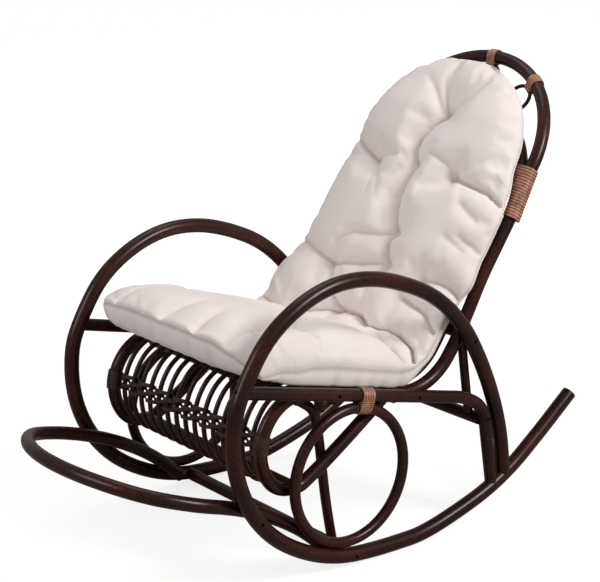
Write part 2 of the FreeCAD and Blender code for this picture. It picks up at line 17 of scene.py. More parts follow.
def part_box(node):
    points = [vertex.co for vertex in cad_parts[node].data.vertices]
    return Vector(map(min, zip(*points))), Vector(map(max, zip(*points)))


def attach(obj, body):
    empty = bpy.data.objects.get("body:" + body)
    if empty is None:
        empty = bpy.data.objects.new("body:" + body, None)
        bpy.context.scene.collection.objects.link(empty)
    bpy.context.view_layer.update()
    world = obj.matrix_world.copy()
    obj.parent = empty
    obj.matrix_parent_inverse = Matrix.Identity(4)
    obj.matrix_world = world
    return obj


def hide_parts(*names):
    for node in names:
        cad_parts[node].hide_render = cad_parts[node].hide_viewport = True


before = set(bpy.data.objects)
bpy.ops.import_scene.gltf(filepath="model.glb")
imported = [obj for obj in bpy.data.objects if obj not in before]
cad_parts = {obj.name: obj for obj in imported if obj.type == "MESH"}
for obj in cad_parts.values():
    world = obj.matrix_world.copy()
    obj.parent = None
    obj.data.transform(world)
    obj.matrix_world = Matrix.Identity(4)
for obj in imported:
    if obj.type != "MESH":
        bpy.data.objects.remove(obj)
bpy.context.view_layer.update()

MM = 0.001
CHAIR = "chair_frame"
SEAT = "seat_cushion"

# %% [markdown]
# ## Where things are
# Every place comes from the frame.  The side rings stand 87 mm in front of the zero of the chair's
# side view.  The seat falls towards the back by 12.6 degrees, and the back leans 34.3 degrees from
# the upright.  Both are planes through the middle of the poles that carry the cushion, so a place
# on the cushion is a distance across, a distance along its plane and a height above it.

# %% Planes of the seat and the back
SEAT_FALL = math.radians(12.6)
BACK_LEAN = math.radians(34.3)
RING_BEFORE_ZERO = 87 * MM
HOOP_RADIUS = 13.8 * MM
HOOP_TOP_ALONG_BACK = 442 * MM      # up the back, from where the back poles turn straight
REAR_BAR_BELOW_POLES = 11.5 * MM


def middle(node):
    """The middle of a frame piece's box."""
    low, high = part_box(node)
    return (low + high) / 2


def rounded(place):
    """A place to the nearest millimetre, for printing."""
    return tuple(round(c, 3) for c in place)


SIDE_ZERO_Y = middle("side_ring_left").y + RING_BEFORE_ZERO
BACK_UP = Vector((0, math.sin(BACK_LEAN), math.cos(BACK_LEAN)))
BACK_FRONT = Vector((0, -math.cos(BACK_LEAN), math.sin(BACK_LEAN)))
SEAT_FORWARD = Vector((0, -math.cos(SEAT_FALL), math.sin(SEAT_FALL)))
SEAT_UP = Vector((0, math.sin(SEAT_FALL), math.cos(SEAT_FALL)))
hoop_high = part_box("headrest_hoop")[1]
HOOP_TOP = Vector((0, hoop_high.y - HOOP_RADIUS, hoop_high.z - HOOP_RADIUS))
BACK_ZERO = HOOP_TOP - BACK_UP * HOOP_TOP_ALONG_BACK
SEAT_ZERO = middle("seat_rear_bar") + SEAT_UP * REAR_BAR_BELOW_POLES


def on_back(x, along, height):
    """A place on the back: millimetres across, up the back and in front of its poles."""
    return BACK_ZERO + Vector((x * MM, 0, 0)) + BACK_UP * (along * MM) + BACK_FRONT * (height * MM)


def on_seat(x, forward, height):
    """A place on the seat: millimetres across, forward of the rear bar and above the poles."""
    return SEAT_ZERO + Vector((x * MM, 0, 0)) + SEAT_FORWARD * (forward * MM) + SEAT_UP * (height * MM)


print("back starts at", rounded(BACK_ZERO), "seat at", rounded(SEAT_ZERO))

# %% [markdown]
# ## Small helpers
# Colours are written as sRGB hex, the way a paint card gives them, and turned to the linear values
# that a renderer mixes.  One function adds a shader node with its settings and its links.

# %% Colour and shader nodes
def srgb(code):
    """A hex colour such as "3a2420" as a linear RGBA tuple."""
    values = [int(code[i:i + 2], 16) / 255 for i in (0, 2, 4)]
    linear = [v / 12.92 if v <= 0.04045 else ((v + 0.055) / 1.055) ** 2.4 for v in values]
    return (*linear, 1.0)


def add_node(material, kind, links=(), sockets=(), **settings):
    """A shader node with its settings, the values of its sockets and the links into it."""
    node = material.node_tree.nodes.new(kind)
    for name, value in settings.items():
        setattr(node, name, value)
    for name, value in dict(sockets).items():
        node.inputs[name].default_value = value
    for name, source in links:
        material.node_tree.links.new(source, node.inputs[name])
    return node


def new_material(name):
    """A material with its Principled shader, empty of everything else."""
    material = bpy.data.materials.new(name)
    material.use_nodes = True
    return material, material.node_tree.nodes["Principled BSDF"]


def link(material, source, target):
    """Joins a node's output to a node's input."""
    material.node_tree.links.new(source, target)


print("one colour turned to linear:", srgb("808080"))

# %% [markdown]
# ## Pieces from the frame
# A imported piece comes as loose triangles.  A copy of it is merged, so that its faces share their
# points and a round face can be shaded as one, while the edges that really are sharp stay sharp.

# %% Meshes and how they are shown
MERGE = 0.01 * MM                   # points of a winding or the cushion nearer than this are one
MERGE_FINE = 0.002 * MM             # the same for poles, canes, nails and the braid
POLE_CREASE = math.radians(38)      # an edge that turns more than this is a sharp one
SLEEVE_CREASE = math.radians(30)


def show(piece, material, body):
    """Gives a piece its one material and its body."""
    piece.data.materials.clear()
    piece.data.materials.append(material)
    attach(piece, body)


def object_from(bm, name):
    """An object with the mesh of a bmesh, which is used up."""
    mesh = bpy.data.meshes.new(name)
    bm.to_mesh(mesh)
    bm.free()
    piece = bpy.data.objects.new(name, mesh)
    bpy.context.scene.collection.objects.link(piece)
    return piece


def merged(node, nearer_than):
    """A bmesh of a frame piece with its loose triangles joined."""
    bm = bmesh.new()
    bm.from_mesh(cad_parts[node].data)
    bmesh.ops.remove_doubles(bm, verts=bm.verts, dist=nearer_than)
    return bm


def shade_smooth(bm, crease):
    """Shades every face smooth, and leaves the edges sharp that turn more than the crease."""
    for face in bm.faces:
        face.smooth = True
    for edge in bm.edges:
        edge.smooth = len(edge.link_faces) == 2 and edge.calc_face_angle(0) < crease


def merged_copy(node, name):
    """A copy of a frame piece with its loose triangles joined and its round faces smooth."""
    bm = merged(node, MERGE_FINE)
    shade_smooth(bm, POLE_CREASE)
    return object_from(bm, name)


# %% [markdown]
# ## Camera
# The chair is seen from its front left, a little from above, with a long lens, which keeps the far
# side nearly as large as the near one.  Its place is measured from the zero of the side view.

# %% The camera
CAMERA_AT = Vector((2796, -2191, 1464)) * MM
CAMERA_TURN = math.radians(51.76)
CAMERA_RISE = math.radians(15.39)
CAMERA_LENS = 107.4

camera_data = bpy.data.cameras.new("camera")
camera_data.lens = CAMERA_LENS
camera_data.sensor_width = 36
camera_data.clip_end = 50
camera = bpy.data.objects.new("camera", camera_data)
bpy.context.scene.collection.objects.link(camera)
to_camera = Vector((math.sin(CAMERA_TURN) * math.cos(CAMERA_RISE),
                    -math.cos(CAMERA_TURN) * math.cos(CAMERA_RISE), math.sin(CAMERA_RISE)))
right = Vector((math.cos(CAMERA_TURN), math.sin(CAMERA_TURN), 0))
up = to_camera.cross(right)
turn = Matrix((right, up, to_camera)).transposed()
camera.matrix_world = Matrix.Translation(CAMERA_AT + Vector((0, SIDE_ZERO_Y, 0))) @ turn.to_4x4()
bpy.context.scene.camera = camera
bpy.context.scene.view_settings.view_transform = "Standard"
print("camera at", rounded(camera.matrix_world.translation))

# %% [markdown]
# ## White studio
# The floor is a pale grey that takes the soft shadow.  Only the camera sees a white glow added to
# it, weaker under the chair and stronger far away, so that floor and background meet without a
# line and the chair gets no light from it.  The air lights the chair evenly, and shows white.

# %% The floor
FLOOR_SIZE = 14.0
FLOOR_BELOW = 0.2 * MM
FLOOR_GREY = "a4a2a0"
GLOW_NEAR = 0.80                    # white that only the camera sees, under the chair
GLOW_FAR = 1.0                      # and at the ends of the floor, which are out of the lamps' reach
GLOW_GROWS = (0.7, 2.6)             # metres from the chair's middle, where it grows from one to the other
WHITE = srgb("ffffff")

bm = bmesh.new()
bmesh.ops.create_grid(bm, x_segments=1, y_segments=1, size=FLOOR_SIZE / 2)
bmesh.ops.translate(bm, verts=bm.verts, vec=(0, 0, -FLOOR_BELOW))
floor = object_from(bm, "studio_floor")
floor_paint, floor_shader = new_material("white_studio_floor")
floor_paint.node_tree.nodes.remove(floor_shader)
floor_out = floor_paint.node_tree.nodes["Material Output"]
matt = add_node(floor_paint, "ShaderNodeBsdfDiffuse", sockets={"Color": srgb(FLOOR_GREY)})
floor_place = add_node(floor_paint, "ShaderNodeTexCoord")
away = add_node(floor_paint, "ShaderNodeVectorMath", [(0, floor_place.outputs["Object"])],
                operation="LENGTH")
fade = add_node(floor_paint, "ShaderNodeMapRange", [("Value", away.outputs["Value"])],
                {"From Min": GLOW_GROWS[0], "From Max": GLOW_GROWS[1],
                 "To Min": GLOW_NEAR, "To Max": GLOW_FAR},
                interpolation_type="SMOOTHSTEP")
glow = add_node(floor_paint, "ShaderNodeEmission", [("Strength", fade.outputs["Result"])],
                {"Color": WHITE})
nothing = add_node(floor_paint, "ShaderNodeEmission", sockets={"Strength": 0.0})
path = add_node(floor_paint, "ShaderNodeLightPath")
seen = add_node(floor_paint, "ShaderNodeMixShader",
                [(0, path.outputs["Is Camera Ray"]), (1, nothing.outputs[0]), (2, glow.outputs[0])])
total = add_node(floor_paint, "ShaderNodeAddShader", [(0, matt.outputs[0]), (1, seen.outputs[0])])
link(floor_paint, total.outputs[0], floor_out.inputs["Surface"])
floor.data.materials.append(floor_paint)
print("floor", FLOOR_SIZE, "m wide")

# %% The air
AIR_LIGHT = 0.33                    # strength of the even light; the camera sees the air at 1, white

world = bpy.data.worlds.new("studio_air")
bpy.context.scene.world = world
world.use_nodes = True
sky = world.node_tree.nodes["Background"]
sky.inputs["Color"].default_value = WHITE
sky.inputs["Strength"].default_value = AIR_LIGHT
white = add_node(world, "ShaderNodeBackground", sockets={"Color": WHITE, "Strength": 1.0})
rays = add_node(world, "ShaderNodeLightPath")
pick = add_node(world, "ShaderNodeMixShader",
                [(0, rays.outputs["Is Camera Ray"]), (1, sky.outputs[0]), (2, white.outputs[0])])
link(world, pick.outputs[0], world.node_tree.nodes["World Output"].inputs["Surface"])
print("air at", AIR_LIGHT)

# %% [markdown]
# ## Lamps
# Three soft boxes.  The large share of the light comes from the camera's right and above, so that
# the cushion's folds read and the lacquer has streaks; a weak one opens the shadows on the left,
# and one behind the chair draws a thin light edge along its top.

# %% Soft boxes
CHAIR_MIDDLE = Vector((0, 0, 0.45))
SOFT_BOXES = [                      # metres to the camera's right, towards it and up; width; watts
    ("key_box", 2.6, 1.6, 1.7, 1.2, 80),
    ("fill_box", -2.6, 1.6, 1.2, 1.4, 28),
    ("top_box", 0.0, -0.8, 2.8, 1.6, 12),
]


def soft_lamp(name, place, aim, size, power):
    """A square soft box that hangs at a place and faces a point."""
    data = bpy.data.lights.new(name, "AREA")
    data.shape = "SQUARE"
    data.size = size
    data.energy = power
    lamp = bpy.data.objects.new(name, data)
    bpy.context.scene.collection.objects.link(lamp)
    lamp.location = place
    lamp.rotation_euler = (Vector(aim) - Vector(place)).to_track_quat("-Z", "Y").to_euler()


for name, sideways, nearer, above, size, power in SOFT_BOXES:
    hung_at = CHAIR_MIDDLE + right * sideways + to_camera * nearer + Vector((0, 0, above))
    soft_lamp(name, hung_at, CHAIR_MIDDLE, size, power)
    print(name, "at", rounded(hung_at))

# %% [markdown]
# ## Lacquered rattan
# Rattan is a climbing palm: its pole is solid, with a fine straight grain, and every hand or two a
# ring where a leaf once grew.  These poles are stained a very dark brown and lacquered, so the
# colour only shows red where the light is strong, and the gloss breaks a little over the grain.
# Fine noise stands for the fibres and a coarse one for the clouds that stain leaves in the wood.

# %% Lacquered rattan
STAIN_DARK = "130805"
STAIN_LIGHT = "4b1f13"
FIBRE_STEP = 5.5556                 # millimetres; real fibres are under one, and would not show
CLOUD_STEP = 111.11                 # millimetres from one cloud of stain to the next


def lacquered_rattan():
    """Stained pole under a thin coat of lacquer: clouded dark colour, gloss broken by the grain."""
    material, shader = new_material("lacquered_rattan")
    place = add_node(material, "ShaderNodeTexCoord")
    fibre = add_node(material, "ShaderNodeTexNoise", [("Vector", place.outputs["Object"])],
                     {"Scale": 1000 / FIBRE_STEP, "Detail": 3.0, "Roughness": 0.6})
    cloud = add_node(material, "ShaderNodeTexNoise", [("Vector", place.outputs["Object"])],
                     {"Scale": 1000 / CLOUD_STEP, "Detail": 4.0, "Roughness": 0.55})
    mixed = add_node(material, "ShaderNodeMath", [(0, fibre.outputs["Fac"]), (1, cloud.outputs["Fac"])],
                     operation="MULTIPLY")
    stain = add_node(material, "ShaderNodeValToRGB", [("Fac", mixed.outputs[0])])
    stain.color_ramp.elements[0].position = 0.12
    stain.color_ramp.elements[0].color = srgb(STAIN_DARK)
    stain.color_ramp.elements[1].position = 0.48
    stain.color_ramp.elements[1].color = srgb(STAIN_LIGHT)
    link(material, stain.outputs["Color"], shader.inputs["Base Color"])
    rough = add_node(material, "ShaderNodeMapRange", [("Value", cloud.outputs["Fac"])],
                     {"To Min": 0.24, "To Max": 0.36})
    link(material, rough.outputs["Result"], shader.inputs["Roughness"])
    bump = add_node(material, "ShaderNodeBump", [("Height", fibre.outputs["Fac"])],
                    {"Strength": 0.12, "Distance": 0.4 * MM})
    link(material, bump.outputs["Normal"], shader.inputs["Normal"])
    shader.inputs["Specular IOR Level"].default_value = 0.25
    shader.inputs["Coat Weight"].default_value = 0.12
    shader.inputs["Coat Roughness"].default_value = 0.16
    return material


RATTAN = lacquered_rattan()
print("material:", RATTAN.name)

# %% [markdown]
# ## Split cane
# The bindings are strips peeled from the palm's skin: flat, smooth, satin and much paler than the
# stained poles.  The braid is the same strip, stained.  A groove between two strips lies in its own
# shadow, so its colour is a darker one, which an attribute of the mesh brings in.

# %% Split cane
CANE_FIBRE_STEP = 2.381             # millimetres; coarser than real skin, so that it shows
CANE_PATCH_STEP = 18.182            # millimetres from one paler patch to the next


def wound_cane(name, dark, light, groove_painted_shade):
    """Split cane: flat, smooth-skinned strips with a fine grain, and painted shade in the grooves between
    them.
    """
    material, shader = new_material(name)
    place = add_node(material, "ShaderNodeTexCoord")
    fibre = add_node(material, "ShaderNodeTexNoise", [("Vector", place.outputs["Object"])],
                     {"Scale": 1000 / CANE_FIBRE_STEP, "Detail": 3.0, "Roughness": 0.6})
    patch = add_node(material, "ShaderNodeTexNoise", [("Vector", place.outputs["Object"])],
                     {"Scale": 1000 / CANE_PATCH_STEP, "Detail": 2.0, "Roughness": 0.5})
    mixed = add_node(material, "ShaderNodeMath", [(0, fibre.outputs["Fac"]), (1, patch.outputs["Fac"])],
                     operation="MULTIPLY")
    colour = add_node(material, "ShaderNodeValToRGB", [("Fac", mixed.outputs[0])])
    colour.color_ramp.elements[0].position = 0.12
    colour.color_ramp.elements[0].color = srgb(dark)
    colour.color_ramp.elements[1].position = 0.45
    colour.color_ramp.elements[1].color = srgb(light)
    # painted shade: where two strips meet, the groove attribute mixes in a darker colour
    groove = add_node(material, "ShaderNodeAttribute", attribute_name="groove")
    shade = add_node(material, "ShaderNodeMix", [("Factor", groove.outputs["Fac"]),
                                                 ("A", colour.outputs["Color"])],
                     {"B": srgb(groove_painted_shade)}, data_type="RGBA")
    link(material, shade.outputs["Result"], shader.inputs["Base Color"])
    shader.inputs["Roughness"].default_value = 0.42
    bump = add_node(material, "ShaderNodeBump", [("Height", fibre.outputs["Fac"])],
                    {"Strength": 0.25, "Distance": 0.3 * MM})
    link(material, bump.outputs["Normal"], shader.inputs["Normal"])
    return material


# the last colour of each is the painted shade in the grooves
TAN_CANE = wound_cane("peeled_cane_binding", "8c5a44", "d8a080", "4c2c1e")
DARK_CANE = wound_cane("stained_cane_braid", "1a0c08", "4a281b", "0c0604")
print("materials:", TAN_CANE.name, DARK_CANE.name)

# %% [markdown]
# ## Poles and canes
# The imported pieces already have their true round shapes, so each is shown by a copy of itself whose
# loose triangles are joined and whose shading is smooth.

# %% The poles of the frame
BOUND = ("neck_wrap", "rail_binding", "headrest_binding")
for node in sorted(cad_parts):
    if node in ("cushion", "braid_band", "nails") or node.startswith(BOUND):
        continue
    finished = merged_copy(node, node + "_finished")
    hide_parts(node)
    show(finished, RATTAN, CHAIR)
print("poles finished")

# %% [markdown]
# ## Nails
# Blackened steel nails with domed heads hold poles together where they cross.  Handling has rubbed
# the heads, so their roughness changes over a millimetre or so.

# %% Nails
NAIL_WEAR_STEP = 1.1111             # millimetres from one worn spot to the next

nail_steel, nail_shader = new_material("blackened_steel_nails")
nail_shader.inputs["Base Color"].default_value = srgb("17110e")
nail_shader.inputs["Metallic"].default_value = 1.0
nail_place = add_node(nail_steel, "ShaderNodeTexCoord")
nail_wear = add_node(nail_steel, "ShaderNodeTexNoise", [("Vector", nail_place.outputs["Object"])],
                     {"Scale": 1000 / NAIL_WEAR_STEP, "Detail": 2.0})
nail_rough = add_node(nail_steel, "ShaderNodeMapRange", [("Value", nail_wear.outputs["Fac"])],
                      {"To Min": 0.3, "To Max": 0.55})
link(nail_steel, nail_rough.outputs["Result"], nail_shader.inputs["Roughness"])
nails = merged_copy("nails", "nails_finished")
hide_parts("nails")
show(nails, nail_steel, CHAIR)
print("nails:", len(nails.data.polygons), "faces")

# %% [markdown]
# ## Wound cane
# Where two poles meet, flat strips of cane are wound round both, turn beside turn, and nailed.  The
# frame holds each winding as one smooth sleeve.  A plane cuts the sleeve's mesh four times in each
# turn, and the points then move by a sine of their place in the turn: those in the middle of a
# strip stand proud, and those between two strips sink into the groove.

# %% Winding a sleeve
STRIP_WIDTH = 6.2 * MM
GROOVE_DEPTH = 1.5 * MM
STRIP_PROUD = 0.3 * MM
TURN_LEAN = 0.05                    # how much each turn leans, as a winding does
CUTS_IN_TURN = 4
CROWN_POWER = 0.6                   # below 1, a strip is flat with a narrow groove beside it


def wound(bm, along, lean_to, strip=STRIP_WIDTH):
    """Cuts a sleeve into turns square to a direction: grooves between them, crowns along them."""
    groove = bm.verts.layers.float.new("groove")
    axis = (along + lean_to * TURN_LEAN).normalized()
    low = min(vert.co.dot(axis) for vert in bm.verts)
    high = max(vert.co.dot(axis) for vert in bm.verts)
    turns = max(2, round((high - low) / strip))
    step = (high - low) / turns
    bm.normal_update()
    for index in range(1, CUTS_IN_TURN * turns):
        bmesh.ops.bisect_plane(bm, geom=bm.verts[:] + bm.edges[:] + bm.faces[:], dist=MERGE,
                               plane_co=axis * (low + index * step / CUTS_IN_TURN), plane_no=axis)
    bm.normal_update()
    moves = {}
    for vert in bm.verts:
        phase = ((vert.co.dot(axis) - low) / step) % 1.0
        crown = math.sin(math.pi * phase) ** CROWN_POWER
        moves[vert] = vert.normal * (STRIP_PROUD * crown - GROOVE_DEPTH * (1 - crown))
        # how deep in a groove a point lies, which the cane's colour turns into painted shade
        vert[groove] = 1 - crown
    for vert, move in moves.items():
        vert.co += move
    return turns


def sleeve(node, name, along, lean_to):
    """A frame sleeve wound with cane strips, in place of the smooth one."""
    bm = merged(node, MERGE)
    turns = wound(bm, along, lean_to)
    shade_smooth(bm, SLEEVE_CREASE)
    piece = object_from(bm, name)
    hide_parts(node)
    show(piece, TAN_CANE, CHAIR)
    print(name, "has", turns, "turns and", len(piece.data.polygons), "faces")


ACROSS = Vector((1, 0, 0))
for side in ("left", "right"):
    sleeve("neck_wrap_" + side, "neck_winding_" + side, BACK_UP, ACROSS)
    sleeve("rail_binding_" + side, "rail_winding_" + side, SEAT_FORWARD, SEAT_UP)


def headrest_winding(place):
    """The strips that tie a small ring to the headrest hoop, wound square to the hoop there."""
    ring = middle("headrest_ring_" + place)
    inward = (ring - middle("headrest_binding_" + place)).normalized()
    along = inward.cross(BACK_FRONT).normalized()
    sleeve("headrest_binding_" + place, "headrest_winding_" + place, along, inward)


for place in ("left", "middle", "right"):
    headrest_winding(place)

# %% [markdown]
# ## Waist of the rail windings
# Between the rail and the ring, the same strip is wound the other way, round the turns, and pulls
# them tight.  It is made from a slice of the sleeve: two planes cut it off, its ends are closed, it
# is blown up a little so that it stands outside the turns, and it is then cut into turns of its own.

# %% The waist of the rail windings
RING_BELOW_RAIL = 24.3              # millimetres between the middles of rail and ring
WAIST_LOW = -21.0                   # millimetres under the middle of the rail
WAIST_HIGH = -11.0
WAIST_PROUD = 1.1 * MM
WAIST_STRIP = 5.0 * MM


def waist(side):
    """Turns the other way round, which pull the winding tight between the poles."""
    bm = merged("rail_binding_" + side, MERGE)
    rail_middle = middle("rail_binding_" + side) + SEAT_UP * (RING_BELOW_RAIL / 2 * MM)
    for height, direction in ((WAIST_HIGH, SEAT_UP), (WAIST_LOW, -SEAT_UP)):
        cut_at = rail_middle + SEAT_UP * (height * MM)
        bmesh.ops.bisect_plane(bm, geom=bm.verts[:] + bm.edges[:] + bm.faces[:], dist=MERGE,
                               plane_co=cut_at, plane_no=direction, clear_outer=True)
        rim = [edge for edge in bm.edges if edge.is_boundary and edge.verts[0].co != edge.verts[1].co
               and all(abs((vert.co - cut_at).dot(SEAT_UP)) < MERGE for vert in edge.verts)]
        bmesh.ops.triangle_fill(bm, edges=rim, use_beauty=True, use_dissolve=False, normal=direction)
    bmesh.ops.recalc_face_normals(bm, faces=bm.faces)
    bm.normal_update()
    lift = {vert: vert.normal * WAIST_PROUD for vert in bm.verts}
    for vert, step_out in lift.items():
        vert.co += step_out
    open_edges = sum(1 for edge in bm.edges if not edge.is_manifold)
    turns = wound(bm, SEAT_UP, SEAT_FORWARD, WAIST_STRIP)
    for face in bm.faces:
        face.smooth = True
    show(object_from(bm, "rail_winding_waist_" + side), TAN_CANE, CHAIR)
    print("waist:", turns, "turns,", open_edges, "open edges before they were cut")


for side in ("left", "right"):
    waist(side)

# %% [markdown]
# ## The braid across the front
# Four flat strips of stained cane pass in front of one seat cane and behind the next, and end in a
# winding round the outer poles.

# %% Braid
braid = merged_copy("braid_band", "cane_braid")
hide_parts("braid_band")
show(braid, DARK_CANE, CHAIR)
print("braid:", len(braid.data.polygons), "faces")

# %% [markdown]
# ## The cushion, laid out flat
# One long cushion covers seat and back: two panels of plain cotton sewn together along their edge,
# loosely filled with fibre, and tied through at tufts so that the filling stays put.  It is easiest
# to draw as if it lay flat.  A place on it is then x across, `run` along it from the start of its
# fold towards the top, and a height above the poles.  One function bends that flat drawing round
# the fold between the seat and the back, so the same numbers serve for the whole cushion.

# %% Bending a flat drawing round the fold
FOLD_RADIUS = 158.0                 # millimetres, of the line through the middle of the poles
FOLD_TURN = math.pi / 2 - BACK_LEAN + SEAT_FALL
FOLD_RUN = FOLD_RADIUS * FOLD_TURN
FOLD_REACH = FOLD_RADIUS * math.tan(FOLD_TURN / 2)

square_off = SEAT_UP.dot(BACK_ZERO - SEAT_ZERO) / SEAT_UP.dot(BACK_UP)
FOLD_CORNER = BACK_ZERO - BACK_UP * square_off
FOLD_START = FOLD_CORNER + SEAT_FORWARD * (FOLD_REACH * MM)
FOLD_END = FOLD_CORNER + BACK_UP * (FOLD_REACH * MM)
FOLD_CENTRE = FOLD_START + SEAT_UP * (FOLD_RADIUS * MM)


def on_pad(x, run, height):
    """A place of the flat drawing, bent to where it lies in the chair."""
    across = Vector((x * MM, 0, 0))
    if run <= 0:
        return FOLD_START - SEAT_FORWARD * (run * MM) + SEAT_UP * (height * MM) + across
    if run >= FOLD_RUN:
        return FOLD_END + BACK_UP * ((run - FOLD_RUN) * MM) + BACK_FRONT * (height * MM) + across
    angle = run / FOLD_RADIUS - SEAT_FALL
    arm = (FOLD_RADIUS - height) * MM
    return FOLD_CENTRE + Vector((0, math.sin(angle), -math.cos(angle))) * arm + across


print("fold: run %.0f mm, from %s to %s" % (FOLD_RUN, rounded(FOLD_START), rounded(FOLD_END)))

# %% [markdown]
# ## The two panels
# Both panels share one outline: straight sides, a straight front edge with pinched corners, and a
# rounded top.  The heights of the top panel, the seam and the underside change slowly along the
# cushion, so each is a short list of (run, height) with smooth steps between.  A grid gives each
# panel its even mesh of threads, which cloth simulation needs, and their rims become the seam.

# %% Sizes of the panels, in millimetres
NOSE = -387.0                       # run of the front seam
FAR_CORNER_BACK = 34.0              # how far the front corners are pulled back from it
NEAR_CORNER_BACK = 62.0
CROWN = 794.0                       # run of the top seam
CROWN_START = 520.0                 # where the sides start to round off to the top
NOSE_ROUND = 70.0                   # length over which the front thins down to its seam
CROWN_ROUND = 130.0
UNDER_ROUND = 40.0                  # length over which the underside comes up to the end seams
CORNER_LENGTH = 160.0               # length over which the pulled-back corners ease off
CORNER_POWER = 5                    # the higher, the nearer to the sides a corner starts
THREADS_ACROSS = 66
THREADS_ALONG = 172

FAR_WIDTH = [(-385, 258), (-300, 264), (0, 266), (130, 252), (250, 254), (400, 254), (520, 252)]
NEAR_WIDTH = [(-385, 262), (-290, 264), (-235, 272), (50, 273), (120, 271), (190, 266), (272, 266),
              (312, 277), (375, 267), (450, 266), (520, 252), (580, 238), (640, 241)]
TOP_DRIFT = -20.0                   # the top leans over to the sitter's right
TOP_HEIGHT = [(-385, 84), (-330, 108), (-250, 113), (-130, 108), (-40, 102), (60, 88), (150, 80),
              (240, 82), (330, 84), (520, 82), (640, 76), (740, 58), (808, 32)]
SEAM_HEIGHT = [(-385, 73), (-320, 54), (-140, 52), (0, 48), (110, 44), (200, 50), (300, 34),
               (400, 27), (640, 27), (808, 32)]
UNDER_HEIGHT = [(-385, 16), (-100, 14.6), (0, 14.6), (130, 18), (250, 18.5), (808, 18.5)]
FAR_DROP = [(-387, 24), (-327, 0)]  # the seam drops to the front corners
NEAR_DROP = [(-387, 52), (-322, 36), (-261, 18), (-200, 3), (-170, 0)]
FAR_BUNCH = [(20, 0), (110, 30), (215, 24), (300, 4), (340, 0)]   # at the fold, on the far side
NEAR_SHOULDER = 2.35                # how square the cushion's top is on each side
FAR_SHOULDER = 3.1
FAR_FLATTER = [(-250, 0), (-100, 11), (0, 15), (110, 9), (200, 0)]  # the far side is sat flatter
FLATTER_SPREAD = 1.6                # the higher, the nearer to the middle that begins

# %% Sizes of the underside and the gathers, in millimetres
SAG_START = 0.93                    # share of the width where the underside leaves the outer pole
SAG = [                             # share of the width; how far in from the side, and how far down
    (SAG_START, 19, 0), (0.955, 12, 0), (0.972, 4.5, 7), (0.987, 0.8, -6), (1.0, 0, -36),
]
SAG_END = 100.0                     # the run by which the sag has faded out
SAG_EASE = 60.0                     # length over which it begins, as far from the front, and fades
GATHERS_NEAR = [-152, -97, -58, -28, 20]        # runs of the small gathers under the side seam
GATHERS_FRONT = [-100, -38, 88, 156]            # x of those under the front seam
NEAR_PINCH = 7.0                    # how far a gather draws the cover in
FRONT_PINCH = 9.0
PINCH_WIDTH = 7.0                   # half the width of a gather
PINCHED_FROM = 0.965                # share of the width where the side gathers start

# %% Rules for the shape of the panels

def stepped(table, run):
    """A smooth value between the (run, value) steps of a table."""
    if run <= table[0][0]:
        return table[0][1]
    for (r0, v0), (r1, v1) in zip(table, table[1:]):
        if run <= r1:
            share = (run - r0) / (r1 - r0)
            return v0 + (v1 - v0) * share * share * (3 - 2 * share)
    return table[-1][1]


def rounding(share, power):
    """From 1 in the middle to 0 at an edge, as the side of a pillow."""
    return math.sqrt(max(0.0, 1 - min(1.0, share) ** power))


def pad_place(u, run):
    """x of a thread at u from -1 to 1 across the cushion."""
    width = stepped(NEAR_WIDTH if u > 0 else FAR_WIDTH, run)
    shoulder = NEAR_SHOULDER if u > 0 else FAR_SHOULDER
    share = max(0.0, (run - CROWN_START) / (CROWN + 4 - CROWN_START))
    return TOP_DRIFT * share * share + width * rounding(share, shoulder) * u


def sagged(u, run, x, height):
    """On the near side the underside fills the groove between the seat's outer pole and the rail."""
    share = (min(1.0, max(0.0, (SAG_END - run) / SAG_EASE))
             * min(1.0, max(0.0, (run - NOSE - SAG_EASE) / SAG_EASE)))
    if u <= SAG_START or share == 0:
        return x, height
    for (u0, in0, down0), (u1, in1, down1) in zip(SAG, SAG[1:]):
        if u <= u1:
            part = (u - u0) / (u1 - u0)
            inset = in0 + (in1 - in0) * part
            down = down0 + (down1 - down0) * part
            there = pad_place(1.0, run) - inset
            return x + (there - x) * share, height + (stepped(UNDER_HEIGHT, run) - down - height) * share
    return x, height


def gathered(x, run, is_front):
    """How far a gather draws the cover in at a place, in millimetres."""
    places = GATHERS_FRONT if is_front else GATHERS_NEAR
    where = x if is_front else run
    pinch = FRONT_PINCH if is_front else NEAR_PINCH
    return pinch * max(math.exp(-((where - place) / PINCH_WIDTH) ** 2) for place in places)


def ends(run):
    """How full the cushion is between its front and top seams, from 0 to 1."""
    nose = rounding(max(0.0, (NOSE + NOSE_ROUND - run) / NOSE_ROUND), 2.2)
    crown = rounding(max(0.0, (run - CROWN + CROWN_ROUND) / CROWN_ROUND), 2.2)
    return nose * crown


def seam_height(u, run):
    """Height of the seam line, which drops to the front corners."""
    drop = stepped(FAR_DROP if u < 0 else NEAR_DROP, run) * abs(u) ** CORNER_POWER
    bunch = stepped(FAR_BUNCH, run) * u * u if u < 0 else 0.0
    return stepped(SEAM_HEIGHT, run) - drop + bunch


# %% [markdown]
# ## Tufts and creases
# A tuft pulls the top panel down to the bottom one.  Creases run from tuft to tuft and from the
# outer tufts to the sides, where the cotton has nothing to hold it up.  Each crease is a short
# line through a few places (x, run), with a depth at its start and its end: a narrow gather and a
# wide soft valley beside it.  A few short creases run back from the front seam.

# %% Tufts and creases of the top panel
TUFTS = [(6, 651, 40), (-126, 517, 34), (114, 518, 36), (2, 522, 22), (37, 370, 30), (-108, 268, 38),
         (60, 299, 26), (172, 289, 24), (-15, 168, 44), (17, -44, 40), (-128, 40, 30), (142, 52, 30),
         (-118, -190, 16), (150, -180, 18)]

